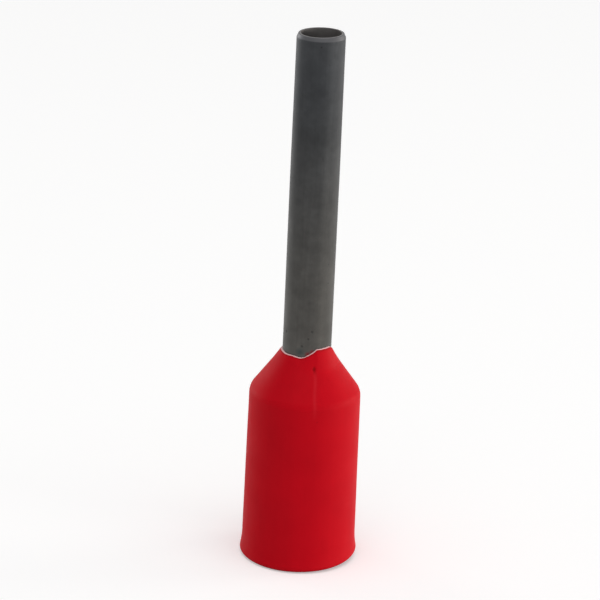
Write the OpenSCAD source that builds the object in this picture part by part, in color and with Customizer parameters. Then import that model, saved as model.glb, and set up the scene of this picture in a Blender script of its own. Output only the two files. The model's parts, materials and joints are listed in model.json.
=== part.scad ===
// Insulated wire ferrule for one stranded conductor.
//
// It is two pieces. A thin tinned copper tube, the barrel, takes the bare strands. Its foot is flared
// into a funnel. A moulded plastic collar takes the end of the cable's insulation. It grips the
// barrel at its neck, and it holds the flare in a seat that leaves no step for a strand to catch on.
//
// The ferrule stands on the mouth of its collar. The origin is the middle of the mouth, +Z runs along
// the axis to the tip of the barrel, and every length is in millimetres.

/* [Barrel] */
// Bore of the tube, which takes the stripped conductor
bore_d = 1.35; // [1.2:0.05:1.45]
// Wall of the tube and of its flare
barrel_wall = 0.13; // [0.1:0.01:0.16]
// Length of the barrel that stands clear of the collar
pin_length = 10.8; // [5:0.1:17]
// Height of the bevel round the tip, which leads the barrel into a terminal
tip_bevel = 0.13; // [0.06:0.01:0.2]
// How far the bevel draws the tip in, measured on the radius
tip_draw = 0.06; // [0.02:0.01:0.08]

/* [Flare] */
// How far the rim of the flare stands out from the tube, measured on the radius
flare_reach = 0.4; // [0.35:0.01:0.42]
// Angle between the cone of the flare and the axis
flare_angle = 40; // [34:1:44]
// Radius of the bend from tube to cone, on the side that lies against the collar
flare_bend = 1; // [0.4:0.1:1.2]

/* [Collar] */
// Height of the collar, from its mouth to the edge of its neck
collar_length = 7.2; // [6:0.1:9]
// Bore for the cable's insulation
cable_bore_d = 3; // [2.9:0.05:3.4]
// Wall of the collar at the corner of its shoulder
collar_wall = 0.35; // [0.32:0.01:0.45]
// Growth of the outside radius from the shoulder down to the bell, so that the moulding leaves its die
draft = 0.05; // [0:0.01:0.08]
// Length of the straight grip of the neck on the barrel, above the flare
neck_grip = 0.1; // [0.05:0.05:0.4]
// Thickness of the collar's edge at the neck
neck_edge = 0.05; // [0.03:0.01:0.08]
// Height of the sloping shoulder
shoulder_height = 1.35; // [1:0.05:1.35]
// Rounding between the shoulder and the body
shoulder_round = 0.45; // [0.1:0.05:0.8]
// Rounding between the funnel inside the collar and its bore
funnel_round = 0.3; // [0.1:0.05:0.4]

/* [Mouth] */
// Height at which the bell of the mouth starts to leave the body
bell_height = 0.9; // [0.7:0.05:1.4]
// How far the bell stands out from the body at the mouth, measured on the radius
bell_flare = 0.09; // [0.02:0.01:0.12]
// Rounding of the mouth's outer edge
mouth_round = 0.15; // [0.05:0.01:0.18]
// Depth of the lead-in inside the mouth
lead_in_depth = 0.4; // [0.2:0.05:0.8]
// How far the lead-in opens the bore, measured on the radius
lead_in_flare = 0.1; // [0.04:0.01:0.12]

/* [Fit] */
// Gap between the barrel and its seat in the collar, which is zero for a tight grip
seat_gap = 0; // [0:0.005:0.02]

/* [Hidden] */
$fn = 128;

// Straight steps in each rounded corner of a section
arc_steps = 10;
// Rounding of the small corners of the barrel's bevel
bevel_round = 0.02;
// Rounding of the neck's thin edge
neck_round = 0.5 * neck_edge;

// Radii of the barrel and of its flare, and of the bore that takes the insulation
bore_r = bore_d / 2;
barrel_r = bore_r + barrel_wall;
flare_r = barrel_r + flare_reach;
cable_bore_r = cable_bore_d / 2;

// Radii of the collar's outside, from the top down
shoulder_r = cable_bore_r + collar_wall;
body_r = shoulder_r + draft;
mouth_r = body_r + bell_flare;

// Heights above the mouth
tip_z = collar_length + pin_length;
shoulder_z = collar_length - shoulder_height;
bend_z = collar_length - neck_grip - flare_bend * tan(flare_angle / 2);
throat_z = bend_z - barrel_wall * tan(flare_angle / 2);
flare_z = bend_z - flare_reach / tan(flare_angle);
funnel_z = throat_z - (cable_bore_r - bore_r) / tan(flare_angle);

// Outer and inner corner of the flare's rim, which is cut square to the wall
rim_outside = [flare_r, flare_z];
rim_inside = rim_outside - barrel_wall * [cos(flare_angle), sin(flare_angle)];

// The bell is one arc, tangent to the body at its top, which runs on to the rounding of the mouth
bell_lean = atan2(bell_flare, bell_height);
bell_side = bell_height / (2 * cos(bell_lean) ^ 2);
mouth_side = mouth_round * tan(45 + bell_lean);
bell_round = (bell_side - mouth_side) / tan(bell_lean);

function unit(v) = v / norm(v);

// The arc that rounds corner b between its neighbours a and c. A corner is [radius, height, rounding],
// and one without rounding stays sharp.
function rounded(a, b, c) =
    let (
        corner = [b.x, b.y],
        to_a = unit([a.x, a.y] - corner),
        to_c = unit([c.x, c.y] - corner),
        half = acos(to_a * to_c) / 2,
        centre = corner + unit(to_a + to_c) * b.z / sin(half),
        from = corner + to_a * b.z / tan(half) - centre,
        to = corner + to_c * b.z / tan(half) - centre,
        start = atan2(from.y, from.x),
        turn = atan2(cross(from, to), from * to)
    )
    [for (i = [0 : arc_steps])
        centre + b.z * [cos(start + turn * i / arc_steps), sin(start + turn * i / arc_steps)]];

// The outline of a section, from its corners in order
function outline(corners) =
    let (n = len(corners))
    [for (i = [0 : n - 1])
        let (b = corners[i])
        each b.z > 0 ? rounded(corners[(i + n - 1) % n], b, corners[(i + 1) % n]) : [[b.x, b.y]]];

// A solid turned about the axis from half of its section
module turned(corners) {
    rotate_extrude()
        polygon(outline(corners));
}

// Tinned copper tube with a bevelled tip and a flared foot
module barrel() {
    color("dimgray")
        turned([
            [bore_r, tip_z, 0],
            [barrel_r - tip_draw, tip_z, bevel_round],
            [barrel_r, tip_z - tip_bevel, bevel_round],
            [barrel_r, bend_z, flare_bend],
            [rim_outside.x, rim_outside.y, 0],
            [rim_inside.x, rim_inside.y, 0],
            [bore_r, throat_z, flare_bend + barrel_wall],
        ]);
}

// Moulded collar: bell, body and shoulder outside, and seat, funnel, bore and lead-in inside
module collar() {
    square_to_flare = [cos(flare_angle), sin(flare_angle)];
    seat_corner = [barrel_r + seat_gap, bend_z + seat_gap * tan(flare_angle / 2)];
    seat_foot = rim_outside + seat_gap * square_to_flare;
    color("firebrick")
        turned([
            [mouth_r, 0, mouth_round],
            [body_r, bell_height - bell_side, bell_round],
            [shoulder_r, shoulder_z, shoulder_round],
            [barrel_r + neck_edge, collar_length, neck_round],
            [barrel_r + seat_gap, collar_length, 0],
            [seat_corner.x, seat_corner.y, flare_bend - seat_gap],
            [seat_foot.x, seat_foot.y, 0],
            [rim_inside.x, rim_inside.y, 0],
            [cable_bore_r, funnel_z, funnel_round],
            [cable_bore_r, lead_in_depth, 0],
            [cable_bore_r + lead_in_flare, 0, 0],
        ]);
}

barrel();
collar();
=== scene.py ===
import json
import math

import bmesh
import bpy
from mathutils import Matrix, Vector, noise


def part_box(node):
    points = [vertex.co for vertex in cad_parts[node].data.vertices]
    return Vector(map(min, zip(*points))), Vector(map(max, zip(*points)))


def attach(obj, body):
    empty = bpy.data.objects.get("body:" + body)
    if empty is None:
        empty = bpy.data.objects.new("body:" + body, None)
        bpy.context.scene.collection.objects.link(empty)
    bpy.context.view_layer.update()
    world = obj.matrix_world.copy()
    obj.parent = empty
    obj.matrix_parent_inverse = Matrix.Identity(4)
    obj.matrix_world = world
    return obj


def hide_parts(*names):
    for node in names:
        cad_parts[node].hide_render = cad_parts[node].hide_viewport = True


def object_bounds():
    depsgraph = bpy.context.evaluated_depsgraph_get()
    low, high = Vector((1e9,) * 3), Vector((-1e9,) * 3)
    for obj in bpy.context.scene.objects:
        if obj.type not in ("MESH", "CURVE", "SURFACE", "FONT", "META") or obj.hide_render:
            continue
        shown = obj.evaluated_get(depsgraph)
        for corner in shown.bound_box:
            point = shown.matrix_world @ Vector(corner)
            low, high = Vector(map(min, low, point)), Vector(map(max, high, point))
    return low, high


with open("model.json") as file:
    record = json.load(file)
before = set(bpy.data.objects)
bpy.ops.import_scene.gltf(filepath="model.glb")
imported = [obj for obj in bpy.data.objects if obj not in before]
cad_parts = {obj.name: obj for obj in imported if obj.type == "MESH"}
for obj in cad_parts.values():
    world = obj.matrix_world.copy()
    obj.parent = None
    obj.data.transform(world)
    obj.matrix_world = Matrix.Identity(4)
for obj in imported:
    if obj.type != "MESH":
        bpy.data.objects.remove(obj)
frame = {"record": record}
cad_low, cad_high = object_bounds()
mm = 0.001


# The view. A close portrait of the standing ferrule, taken from a little above it.
# The camera leans slightly, so that the tip stands to the right of the mouth.
view_distance = 100 * mm
view_down = math.radians(19)
view_lean = math.radians(2.6)
view_aside = 0.30 * mm
view_below = 0.04 * mm

back = Vector((0, -math.cos(view_down), math.sin(view_down)))
level_right = Vector((1, 0, 0))
level_up = back.cross(level_right)
right = level_right * math.cos(view_lean) + level_up * math.sin(view_lean)
up = back.cross(right)
middle = (cad_low + cad_high) / 2

camera = bpy.data.objects.new("camera", bpy.data.cameras.new("camera"))
camera.data.lens = 182.6
camera.data.sensor_width = 36
camera.data.clip_start = 1 * mm
camera.data.clip_end = 2
camera.location = middle + back * view_distance - right * view_aside - up * view_below
camera.rotation_mode = "QUATERNION"
camera.rotation_quaternion = Matrix((right, up, back)).transposed().to_quaternion()
bpy.context.collection.objects.link(camera)
bpy.context.scene.camera = camera
bpy.context.scene.view_settings.view_transform = "Standard"


# The table. A wide sheet of white card that the ferrule stands on, under a white tent.
# From below the card is clear, so that the open mouth can be looked into.
def place(tree, kind, choices=None, values=None, fed=None):
    """Adds a node, with its choices, the values of its inputs and the sockets that feed them."""
    node = tree.nodes.new("ShaderNode" + kind)
    for name, choice in (choices or {}).items():
        setattr(node, name, choice)
    for name, value in (values or {}).items():
        node.inputs[name].default_value = value
    for name, socket in (fed or {}).items():
        tree.links.new(socket, node.inputs[name])
    return node


def seen_directly(tree):
    """1 where a surface is seen by the camera, in a mirror or through glass, and 0 where it only lights."""
    path = place(tree, "LightPath").outputs
    camera_or_glossy = place(
        tree, "Math", choices={"operation": "ADD"},
        fed={0: path["Is Camera Ray"], 1: path["Is Glossy Ray"]})
    any_of_three = place(
        tree, "Math", choices={"operation": "ADD", "use_clamp": True},
        fed={0: camera_or_glossy.outputs[0], 1: path["Is Transmission Ray"]})
    return any_of_three.outputs[0]


card_width = 1600 * mm
card_drop = 0.01 * mm
card_glow = 0.35
card_white = (0.82, 0.82, 0.82, 1)
pure_white = (1, 1, 1)
tent_light = 0.42

bm = bmesh.new()
bmesh.ops.create_grid(bm, x_segments=1, y_segments=1, size=card_width / 2)
bmesh.ops.translate(bm, verts=bm.verts, vec=(0, 0, cad_low.z - card_drop))
card_mesh = bpy.data.meshes.new("card")
bm.to_mesh(card_mesh)
bm.free()
card = bpy.data.objects.new("card", card_mesh)
bpy.context.collection.objects.link(card)

white_card = bpy.data.materials.new("white_card")
white_card.use_nodes = True
tree = white_card.node_tree
tree.nodes.clear()
paper = place(tree, "BsdfDiffuse", values={"Color": card_white})
glow_strength = place(
    tree, "Math", choices={"operation": "MULTIPLY"},
    values={1: card_glow}, fed={0: seen_directly(tree)})
glow = place(
    tree, "Emission", values={"Color": (*pure_white, 1)}, fed={"Strength": glow_strength.outputs[0]})
lit_paper = place(tree, "AddShader", fed={0: paper.outputs[0], 1: glow.outputs[0]})
clear = place(tree, "BsdfTransparent")
side = place(tree, "NewGeometry")
one_sided = place(
    tree, "MixShader",
    fed={"Fac": side.outputs["Backfacing"], 1: lit_paper.outputs[0], 2: clear.outputs[0]})
place(tree, "OutputMaterial", fed={"Surface": one_sided.outputs[0]})
card.data.materials.append(white_card)

tent = bpy.data.worlds.new("tent")
bpy.context.scene.world = tent
tent.use_nodes = True
tree = tent.node_tree
tree.nodes.clear()
strength = place(
    tree, "MapRange", values={"To Min": tent_light, "To Max": 1}, fed={"Value": seen_directly(tree)})
cloth = place(
    tree, "Background", values={"Color": (*pure_white, 1)}, fed={"Strength": strength.outputs[0]})
place(tree, "OutputWorld", fed={"Surface": cloth.outputs[0]})


# The lamps. Two low soft boxes on the right, one behind on the left and a large one overhead.
# Each is a flat sheet of light turned to the middle of the ferrule.
warm_white = (1, 0.96, 0.90)
lamp_distance = 300 * mm


def hang_lamp(name, azimuth, elevation, width, height, watts, colour):
    """A lamp by its azimuth from the front towards +X and its elevation, both in degrees."""
    lamp = bpy.data.objects.new(name, bpy.data.lights.new(name, "AREA"))
    lamp.data.shape = "RECTANGLE"
    lamp.data.size = width
    lamp.data.size_y = height
    lamp.data.energy = watts
    lamp.data.color = colour
    turn = math.radians(azimuth)
    rise = math.radians(elevation)
    outward = Vector((math.sin(turn) * math.cos(rise), -math.cos(turn) * math.cos(rise), math.sin(rise)))
    lamp.location = middle + outward * lamp_distance
    lamp.rotation_mode = "QUATERNION"
    lamp.rotation_quaternion = outward.to_track_quat("Z", "Y")
    bpy.context.collection.objects.link(lamp)


hang_lamp("right_box", 64, 3, width=120 * mm, height=60 * mm, watts=0.25, colour=warm_white)
hang_lamp("far_right_box", 108, 3, width=120 * mm, height=60 * mm, watts=0.40, colour=warm_white)
hang_lamp("left_box", -130, 3, width=90 * mm, height=60 * mm, watts=0.20, colour=pure_white)
hang_lamp("top_box", 10, 75, width=250 * mm, height=250 * mm, watts=0.34, colour=pure_white)


# The barrel. A thin seamless copper tube, cut to length, rolled to a bevel at its tip and tin-plated.
# Its foot is flared into a funnel, and the collar is moulded over the flare.
barrel_low, barrel_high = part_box("barrel")
collar_low, collar_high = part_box("collar")
mounts = {mount["name"]: mount for mount in frame["record"]["mounts"]}
tip_z = barrel_high.z
neck_z = collar_high.z
tube_r = mounts["barrel_pin"]["dims"]["r_mm"] * mm
tube_bore_r = mounts["conductor_bore"]["dims"]["r_mm"] * mm
tube_wall = tube_r - tube_bore_r
bevel_drop = 0.13 * mm
bevel_draw = 0.06 * mm
bevel_round = 0.02 * mm
flare_lean = math.radians(40)
flare_bend = 1.0 * mm
flare_reach = 0.4 * mm
neck_grip = 0.1 * mm

flare_bend_z = neck_z - neck_grip - flare_bend * math.tan(flare_lean / 2)
throat_z = flare_bend_z - tube_wall * math.tan(flare_lean / 2)
flare_rim_z = flare_bend_z - flare_reach / math.tan(flare_lean)
flare_across = Vector((math.cos(flare_lean), 0, math.sin(flare_lean)))
flare_rim_outside = Vector((tube_r + flare_reach, 0, flare_rim_z))
flare_rim_inside = flare_rim_outside - flare_across * tube_wall

round_steps = 256
coarse_step = 0.11 * mm
fine_step = 0.025 * mm
fine_zone = (neck_z - 0.35 * mm, neck_z + 1.1 * mm)
strip_turn = 4
same_height = 1e-9
join_distance = 0.0002 * mm


def turn_section(corners):
    """A shell turned round the axis from its section, with corners of (radius, height, rounding)."""
    bm = bmesh.new()
    verts = [bm.verts.new((radius, 0, height)) for radius, height, rounding in corners]
    bm.faces.new(verts)
    for vert, corner in zip(verts, corners):
        rounding = corner[2]
        if rounding > 0:
            sides = [edge.other_vert(vert).co - vert.co for edge in vert.link_edges]
            opening = sides[0].angle(sides[1])
            bmesh.ops.bevel(
                bm, geom=[vert], affect="VERTICES", offset=rounding / math.tan(opening / 2),
                offset_type="OFFSET", segments=max(4, round(math.degrees(math.pi - opening) / strip_turn)),
                profile=0.5, material=-1)
    for height in fine_zone:
        everything = list(bm.verts) + list(bm.edges) + list(bm.faces)
        bmesh.ops.bisect_plane(bm, geom=everything, plane_co=(0, 0, height), plane_no=(0, 0, 1))
    bmesh.ops.delete(bm, geom=list(bm.faces), context="FACES_ONLY")
    cut_lines = [
        edge for edge in bm.edges if abs(edge.verts[0].co.z - edge.verts[1].co.z) < same_height
        and any(abs(edge.verts[0].co.z - height) < same_height for height in fine_zone)]
    bmesh.ops.delete(bm, geom=cut_lines, context="EDGES")
    for edge in list(bm.edges):
        height = (edge.verts[0].co.z + edge.verts[1].co.z) / 2
        step = fine_step if fine_zone[0] < height < fine_zone[1] else coarse_step
        cuts = math.ceil(edge.calc_length() / step) - 1
        if cuts > 0:
            bmesh.ops.subdivide_edges(bm, edges=[edge], cuts=cuts)
    bmesh.ops.spin(
        bm, geom=list(bm.verts) + list(bm.edges), cent=(0, 0, 0), axis=(0, 0, 1), dvec=(0, 0, 0),
        angle=2 * math.pi, steps=round_steps, use_merge=True, use_duplicate=False)
    bmesh.ops.remove_doubles(bm, verts=bm.verts, dist=join_distance)
    bmesh.ops.recalc_face_normals(bm, faces=bm.faces)
    return bm


def eased(value, start, end):
    """0 before start and 1 after end, with a smooth step between. The end may be below the start."""
    share = min(max((value - start) / (end - start), 0), 1)
    return share * share * (3 - 2 * share)


def azimuth_of(point):
    """Degrees round the axis, from the front towards +X."""
    return math.degrees(math.atan2(point.x, -point.y))


def spot(point, azimuth, height, size):
    """1 at the middle of a round mark on the outside, and 0 from its size outwards."""
    turned = (azimuth_of(point) - azimuth + 180) % 360 - 180
    across = math.radians(turned) * Vector((point.x, point.y)).length
    return 1 - eased(math.hypot(across, point.z - height), 0, size)


barrel_bm = turn_section([
    (tube_bore_r, tip_z, 0),
    (tube_r - bevel_draw, tip_z, bevel_round),
    (tube_r, tip_z - bevel_drop, bevel_round),
    (tube_r, flare_bend_z, flare_bend),
    (flare_rim_outside.x, flare_rim_outside.z, 0),
    (flare_rim_inside.x, flare_rim_inside.z, 0),
    (tube_bore_r, throat_z, flare_bend + tube_wall),
])

# Small dents from handling in bulk, as azimuth in degrees, then height, size and depth in mm
dents = [
    (10, 8.12, 0.060, 0.014), (2, 7.87, 0.055, 0.014), (-12, 7.61, 0.060, 0.016),
    (-58, 7.98, 0.070, 0.012), (17, 14.04, 0.045, 0.010), (28, 15.27, 0.045, 0.010),
    (118, 9.30, 0.060, 0.012), (-143, 12.60, 0.050, 0.010), (166, 7.80, 0.060, 0.014),
    (-101, 15.90, 0.045, 0.010),
]
# A dark red patch and a dark teal spot on the tube just above the neck, as azimuth, height and size
red_patches = [(3, 7.33, 0.15), (12, 7.42, 0.12)]
teal_spots = [(-16, 7.40, 0.20)]
tip_out_of_square = 0.03 * mm
tip_lean_length = 1.2 * mm
tip_narrowing = 0.018
tip_narrowing_length = 5 * mm
skin_depth = 0.01 * mm
wander_fineness = 1500
wander_depth = 0.003 * mm


def marked(point, marks):
    """The strongest of some round marks at a point."""
    return max(spot(point, azimuth, height * mm, size * mm) for azimuth, height, size in marks)


scuffed = barrel_bm.verts.layers.float.new("scuffed")
bore = barrel_bm.verts.layers.float.new("bore")
red_patch = barrel_bm.verts.layers.float.new("red_patch")
teal_spot = barrel_bm.verts.layers.float.new("teal_spot")
for vert in barrel_bm.verts:
    point = vert.co
    outside = Vector((point.x, point.y)).length > tube_r - skin_depth
    if Vector((point.x, point.y)).length < tube_bore_r + 0.002 * mm:
        vert[bore] = 1
    lean = eased(point.z, tip_z - tip_lean_length, tip_z)
    narrowing = 1 - tip_narrowing * eased(point.z, tip_z - tip_narrowing_length, tip_z)
    if outside and point.z > neck_z:
        depth = 0
        vert[red_patch] = marked(point, red_patches)
        vert[teal_spot] = marked(point, teal_spots)
        for azimuth, height, size, deep in dents:
            mark = spot(point, azimuth, height * mm, size * mm)
            depth += mark * deep * mm
            vert[scuffed] = max(vert[scuffed], mark)
        wander = noise.noise(Vector((point.x, point.y, point.z * 0.4)) * wander_fineness) * wander_depth
        narrowing *= 1 - (depth + max(wander, 0)) / tube_r
    point.x *= narrowing
    point.y *= narrowing
    left = 0.5 - 0.5 * point.x / tube_r
    point.z -= lean * left * tip_out_of_square


def finish_piece(name, bm, crease_degrees):
    """Makes the object, smooth but for edges sharper than the given angle."""
    bm.normal_update()
    for face in bm.faces:
        face.smooth = True
    for edge in bm.edges:
        edge.smooth = edge.calc_face_angle(0) < math.radians(crease_degrees)
    mesh = bpy.data.meshes.new(name)
    bm.to_mesh(mesh)
    bm.free()
    piece = bpy.data.objects.new(name, mesh)
    bpy.context.collection.objects.link(piece)
    return piece


barrel = finish_piece("tinned_barrel", barrel_bm, crease_degrees=40)
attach(barrel, "root")
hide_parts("barrel")


def new_group(name, inputs, outputs):
    """A shader group with float or vector inputs, given with their usual values, and float outputs."""
    group = bpy.data.node_groups.new(name, "ShaderNodeTree")
    for label, usual in inputs.items():
        kind = "NodeSocketVector" if label == "Vector" else "NodeSocketFloat"
        socket = group.interface.new_socket(label, in_out="INPUT", socket_type=kind)
        if kind == "NodeSocketFloat":
            socket.default_value = usual
    for label in outputs:
        group.interface.new_socket(label, in_out="OUTPUT", socket_type="NodeSocketFloat")
    return group, group.nodes.new("NodeGroupInput").outputs, group.nodes.new("NodeGroupOutput").inputs


# Soft clouds, such as tarnish on metal and uneven gloss on plastic
clouds, given, wanted = new_group(
    "soft_clouds", {"Vector": None, "Scale": 900, "Low": 0, "High": 1}, ["Value"])
cloud_noise = place(
    clouds, "TexNoise", values={"Detail": 3, "Roughness": 0.55},
    fed={"Vector": given["Vector"], "Scale": given["Scale"]})
cloud_range = place(
    clouds, "MapRange", values={"From Min": 0.3, "From Max": 0.7},
    fed={"Value": cloud_noise.outputs[0], "To Min": given["Low"], "To Max": given["High"]})
clouds.links.new(cloud_range.outputs[0], wanted["Value"])

# Lines drawn out along the axis, as a die leaves them on a tube and flow leaves them on a moulding
drawn, given, wanted = new_group(
    "drawn_lines", {"Vector": None, "Scale": 12000, "Low": 0, "High": 1}, ["Value"])
stretch = place(drawn, "Mapping", values={"Scale": (1, 1, 0.03)}, fed={"Vector": given["Vector"]})
line_noise = place(
    drawn, "TexNoise", values={"Detail": 2, "Roughness": 0.6},
    fed={"Vector": stretch.outputs[0], "Scale": given["Scale"]})
line_range = place(
    drawn, "MapRange", values={"From Min": 0.3, "From Max": 0.7},
    fed={"Value": line_noise.outputs[0], "To Min": given["Low"], "To Max": given["High"]})
drawn.links.new(line_range.outputs[0], wanted["Value"])

# Scattered small specks, such as pits in the plating and dust in the plastic
specks, given, wanted = new_group(
    "small_specks", {"Vector": None, "Scale": 3500, "Size": 0.12, "Share": 0.12}, ["Mask"])
cells = place(specks, "TexVoronoi", fed={"Vector": given["Vector"], "Scale": given["Scale"]})
near = place(
    specks, "MapRange", choices={"interpolation_type": "SMOOTHSTEP"},
    values={"From Min": 0, "To Min": 1, "To Max": 0},
    fed={"Value": cells.outputs["Distance"], "From Max": given["Size"]})
cell_number = place(specks, "SeparateColor", fed={"Color": cells.outputs["Color"]})
chosen = place(
    specks, "Math", choices={"operation": "LESS_THAN"},
    fed={0: cell_number.outputs[0], 1: given["Share"]})
speck = place(
    specks, "Math", choices={"operation": "MULTIPLY"}, fed={0: near.outputs[0], 1: chosen.outputs[0]})
specks.links.new(speck.outputs[0], wanted["Mask"])


def use_group(tree, group, **values):
    """Places a group that reads Object coordinates, with its own values, and gives its output."""
    node = place(tree, "Group", choices={"node_tree": group}, values=values)
    tree.links.new(place(tree, "TexCoord").outputs["Object"], node.inputs["Vector"])
    return node.outputs[0]


def blend(tree, colour, other, share, how="MIX"):
    """Mixes one colour socket or value into another by a share, and gives the mixed colour."""
    node = place(tree, "Mix", choices={"data_type": "RGBA", "blend_type": how, "clamp_factor": True})
    for label, given_value in (("Factor", share), ("A", colour), ("B", other)):
        kind = "VALUE" if label == "Factor" else "RGBA"
        socket = next(entry for entry in node.inputs if entry.name == label and entry.type == kind)
        if isinstance(given_value, bpy.types.NodeSocket):
            tree.links.new(given_value, socket)
        else:
            socket.default_value = given_value
    return next(entry for entry in node.outputs if entry.type == "RGBA")


def height_step(tree, start, end):
    """0 below start and 1 above end, by height on the piece."""
    height = place(tree, "SeparateXYZ", fed={"Vector": place(tree, "TexCoord").outputs["Object"]})
    step = place(
        tree, "MapRange", choices={"interpolation_type": "SMOOTHSTEP"},
        values={"From Min": start, "From Max": end}, fed={"Value": height.outputs["Z"]})
    return step.outputs[0]


def combine(tree, operation, *values):
    """A Math node over sockets and numbers."""
    node = place(tree, "Math", choices={"operation": operation})
    for index, value in enumerate(values):
        if isinstance(value, bpy.types.NodeSocket):
            tree.links.new(value, node.inputs[index])
        else:
            node.inputs[index].default_value = value
    return node.outputs[0]


tin = bpy.data.materials.new("dull_tin_plate")
tin.use_nodes = True
tree = tin.node_tree
tin_shader = tree.nodes["Principled BSDF"]
tin_shader.inputs["Metallic"].default_value = 0.92

warm_foot = (0.078, 0.075, 0.069, 1)
cool_tip = (0.041, 0.043, 0.046, 1)
worn_and_lit_bevel = (0.085, 0.085, 0.09, 1)
bare_bore = (0.20, 0.19, 0.185, 1)
dark_pit = (0.018, 0.018, 0.018, 1)
dark_teal = (0.030, 0.045, 0.046, 1)
dark_red_patch = (0.16, 0.012, 0.016, 1)

# The plate is darker and cooler towards the tip.
colour = blend(tree, warm_foot, cool_tip, height_step(tree, neck_z, tip_z - 1 * mm))
tarnish = use_group(tree, clouds, Scale=900, Low=0.84, High=1.16)
colour = blend(tree, colour, tarnish, 1.0, "MULTIPLY")
mottle = use_group(tree, clouds, Scale=4200, Low=0.93, High=1.07)
colour = blend(tree, colour, mottle, 1.0, "MULTIPLY")
die_lines = use_group(tree, drawn, Scale=9000, Low=0.95, High=1.05)
colour = blend(tree, colour, die_lines, 1.0, "MULTIPLY")
# The rolled bevel at the tip is painted lighter: partly worn plate, partly a painted highlight where it
# faces the lamps above.
bevel_z = tip_z - bevel_drop
bevel_highlight_mask = height_step(tree, bevel_z - 0.02 * mm, bevel_z + 0.01 * mm)
colour = blend(tree, colour, worn_and_lit_bevel, bevel_highlight_mask)
inside_mask = place(tree, "Attribute", choices={"attribute_name": "bore"}).outputs["Fac"]
colour = blend(tree, colour, bare_bore, inside_mask)
pits = use_group(tree, specks, Scale=3500, Size=0.14, Share=0.10)
colour = blend(tree, colour, dark_pit, combine(tree, "MULTIPLY", pits, 0.7))
dent_mask = place(tree, "Attribute", choices={"attribute_name": "scuffed"}).outputs["Fac"]
colour = blend(tree, colour, dark_pit, combine(tree, "MULTIPLY", dent_mask, 0.7))
# The tube is darkened teal in one spot and dark red in a patch just above the neck.
for name, shade, strength in (("teal_spot", dark_teal, 0.7), ("red_patch", dark_red_patch, 0.9)):
    mask = place(tree, "Attribute", choices={"attribute_name": name}).outputs["Fac"]
    colour = blend(tree, colour, shade, combine(tree, "MULTIPLY", mask, strength))
tree.links.new(colour, tin_shader.inputs["Base Color"])

roughness = use_group(tree, clouds, Scale=1600, Low=0.44, High=0.54)
tree.links.new(roughness, tin_shader.inputs["Roughness"])

grain = use_group(tree, clouds, Scale=22000, Low=0, High=0.5)
lines_height = use_group(tree, drawn, Scale=16000, Low=0, High=0.5)
relief = combine(tree, "SUBTRACT", combine(tree, "ADD", grain, lines_height), pits)
tin_bump = place(
    tree, "Bump", values={"Strength": 0.35, "Distance": 0.003 * mm}, fed={"Height": relief})
tree.links.new(tin_bump.outputs[0], tin_shader.inputs["Normal"])
barrel.data.materials.append(tin)


# The collar. A sleeve of red polypropylene, moulded over the flared foot of the barrel.
# Its thin neck grips the tube, and its mouth is belled and rounded to let the insulation in.
cable_r = mounts["insulation_bore"]["dims"]["r_mm"] * mm
collar_wall = 0.35 * mm
shoulder_r = cable_r + collar_wall
shoulder_z = neck_z - 1.35 * mm
shoulder_round = 0.45 * mm
neck_edge = 0.05 * mm
body_r = shoulder_r + 0.05 * mm
bell_height = 0.9 * mm
bell_flare = 0.089 * mm
mouth_round = 0.15 * mm
bell_lean = math.atan2(bell_flare, bell_height)
bell_side = bell_height / (2 * math.cos(bell_lean) ** 2)
mouth_side = mouth_round * math.tan(math.radians(45) + bell_lean)
bell_round = (bell_side - mouth_side) / math.tan(bell_lean)
funnel_z = throat_z - (cable_r - tube_bore_r) / math.tan(flare_lean)
funnel_round = 0.3 * mm
lead_in_depth = 0.4 * mm
lead_in_flare = 0.1 * mm

collar_bm = turn_section([
    (body_r + bell_flare, 0, mouth_round),
    (body_r, bell_height - bell_side, bell_round * 0.999),
    (shoulder_r, shoulder_z, shoulder_round),
    (tube_r + neck_edge, neck_z, 0.5 * neck_edge),
    (tube_r, neck_z, 0),
    (tube_r, flare_bend_z, flare_bend),
    (flare_rim_outside.x, flare_rim_outside.z, 0),
    (flare_rim_inside.x, flare_rim_inside.z, 0),
    (cable_r, funnel_z, funnel_round),
    (cable_r, lead_in_depth, 0),
    (cable_r + lead_in_flare, 0, 0),
])

# How far the thin flash of the neck creeps up the tube, as azimuth in degrees and rise in mm
flash_rise = [
    (-180, 0.03), (-120, 0.01), (-95, 0.04), (-78, 0.06), (-54, 0.035), (-35, 0.048), (-13, 0.012),
    (-5, 0.045), (8, 0.16), (14, 0.21), (22, 0.315), (62, 0.32), (74, 0.23), (92, 0.06), (125, 0.015),
    (150, 0.04), (180, 0.03),
]
mouth_out_of_square = 0.12 * mm
mouth_lean_height = 1.2 * mm
lip_height = 0.010 * mm
creep_height = 0.08 * mm
creep_reach = 0.36 * mm
skin_thickness = 0.12 * mm
nick_azimuth = 14.3
nick_z = 6.88 * mm
nick_size = 0.085 * mm
nick_depth = 0.040 * mm
nick_lip_drop = 0.075 * mm
nick_lip_size = 0.045 * mm
nick_lip_rise = 0.006 * mm
sink_fineness = 450
sink_depth = 0.006 * mm


def flash_at(azimuth):
    """Rise of the flash at an azimuth, straight between the places given."""
    for (start, low), (end, high) in zip(flash_rise, flash_rise[1:]):
        if start <= azimuth <= end:
            return (low + (high - low) * (azimuth - start) / (end - start)) * mm
    return 0


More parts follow.
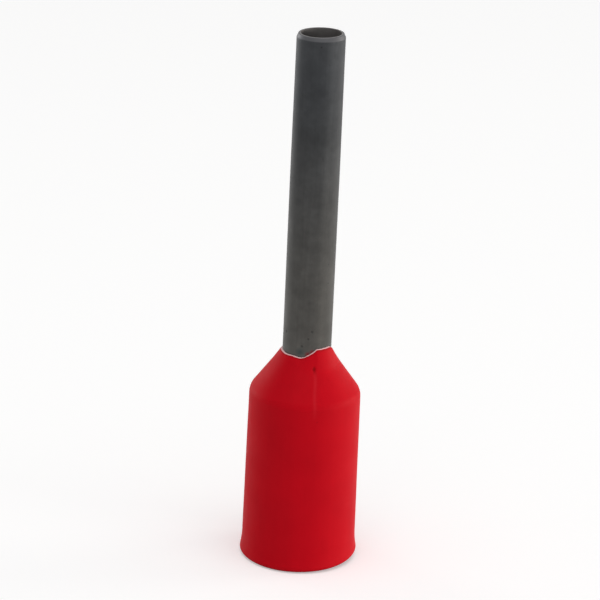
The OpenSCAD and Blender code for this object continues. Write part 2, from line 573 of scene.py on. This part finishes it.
lip_highlight_mask = collar_bm.verts.layers.float.new("lip_highlight_mask")
painted_shade_mask = collar_bm.verts.layers.float.new("painted_shade_mask")
streak_and_lip_highlight = collar_bm.verts.layers.float.new("streak_and_lip_highlight")
for vert in collar_bm.verts:
    point = vert.co
    radius = Vector((point.x, point.y)).length
    azimuth = azimuth_of(point)
    on_neck_edge = point.z > neck_z - 0.02 * mm
    slope = min(max((point.z - shoulder_z) / (neck_z - shoulder_z), 0), 1)
    outer = radius > shoulder_r + (tube_r + neck_edge - shoulder_r) * slope - skin_thickness
    # The top edge of the neck flash gets a painted highlight in near-white pink.
    if point.z > neck_z - lip_height:
        vert[lip_highlight_mask] = 1
    elif outer:
        # A band of painted shade just under the lip, on the outside of the neck.
        vert[painted_shade_mask] = 0.5 * eased(point.z, neck_z - 0.06 * mm, neck_z - 0.03 * mm)
    if radius > tube_r + 0.004 * mm or on_neck_edge:
        creep = eased(radius, tube_r + creep_reach, tube_r + neck_edge * 0.8)
        if point.z < flare_bend_z:
            creep = 0
    else:
        creep = eased(point.z, neck_z - creep_height, neck_z)
    rough_edge = noise.noise(Vector((point.x, point.y, 0)) * 9000) * 0.012 * mm
    lift = creep * (flash_at(azimuth) + rough_edge * eased(point.z, neck_z - 0.1 * mm, neck_z))
    if outer:
        # The nick is dented in, and its hollow is painted dark as painted shade.
        mark = spot(point, nick_azimuth, nick_z, nick_size)
        lip = spot(point, nick_azimuth - 0.5, nick_z - nick_lip_drop, nick_lip_size)
        sink = noise.noise(point * sink_fineness) * sink_depth
        inward = (mark * nick_depth - lip * nick_lip_rise + max(sink, 0)) / radius
        point.x *= 1 - inward
        point.y *= 1 - inward
        foot_shade = 0.7 * eased(point.z, 0.10 * mm, 0.04 * mm)
        vert[painted_shade_mask] = max(vert[painted_shade_mask], mark, foot_shade)
        # A lighter red streak runs down the shoulder, and the raised lip under the nick is painted lighter
        # as a painted highlight.
        line = 11 + 4 * eased(point.z, 6.0 * mm, 6.8 * mm)
        off_line = abs(azimuth - line) * math.pi / 180 * radius
        along = eased(point.z, 5.3 * mm, 5.9 * mm) * eased(point.z, 6.85 * mm, 6.7 * mm)
        streak = 0.4 * (1 - eased(off_line, 0, 0.09 * mm)) * along
        vert[streak_and_lip_highlight] = max(streak, lip)
    point.z += lift
    low = eased(point.z, mouth_lean_height, 0)
    wave = 0.003 + 0.003 * math.sin(math.radians(azimuth * 5 + 40))
    rise = mouth_out_of_square * (0.5 + 0.5 * math.sin(math.radians(azimuth))) ** 4 + wave * mm
    point.z += low * rise

collar = finish_piece("red_collar", collar_bm, crease_degrees=40)
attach(collar, "root")
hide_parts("collar")

plastic = bpy.data.materials.new("red_polypropylene")
plastic.use_nodes = True
tree = plastic.node_tree
plastic_shader = tree.nodes["Principled BSDF"]
plastic_shader.inputs["Specular IOR Level"].default_value = 0.06

deep_red = (0.555, 0.0014, 0.0090, 1)
lip_highlight = (0.95, 0.60, 0.61, 1)
dust_and_shade_red = (0.16, 0.0008, 0.0015, 1)
streak_red = (0.80, 0.06, 0.08, 1)

flow = use_group(tree, clouds, Scale=650, Low=0.95, High=1.04)
colour = blend(tree, deep_red, flow, 1.0, "MULTIPLY")
fine_flow = use_group(tree, drawn, Scale=3500, Low=0.975, High=1.02)
colour = blend(tree, colour, fine_flow, 1.0, "MULTIPLY")
dust = use_group(tree, specks, Scale=2300, Size=0.10, Share=0.05)
colour = blend(tree, colour, dust_and_shade_red, combine(tree, "MULTIPLY", dust, 0.35))
# Painted shade in the nick, under the lip and at the foot; the lighter streak, with a painted highlight on
# the nick's raised lip; and a painted highlight along the neck's top edge.
for name, shade, strength in (
        ("painted_shade_mask", dust_and_shade_red, 0.7), ("streak_and_lip_highlight", streak_red, 0.30), ("lip_highlight_mask", lip_highlight, 1.0)):
    mask = place(tree, "Attribute", choices={"attribute_name": name}).outputs["Fac"]
    colour = blend(tree, colour, shade, combine(tree, "MULTIPLY", mask, strength))
tree.links.new(colour, plastic_shader.inputs["Base Color"])

gloss = use_group(tree, clouds, Scale=1100, Low=0.52, High=0.62)
tree.links.new(gloss, plastic_shader.inputs["Roughness"])
skin = combine(
    tree, "ADD", use_group(tree, clouds, Scale=14000, Low=0, High=0.4),
    use_group(tree, clouds, Scale=2600, Low=0, High=0.6))
plastic_bump = place(
    tree, "Bump", values={"Strength": 0.3, "Distance": 0.004 * mm}, fed={"Height": skin})
tree.links.new(plastic_bump.outputs[0], plastic_shader.inputs["Normal"])
collar.data.materials.append(plastic)
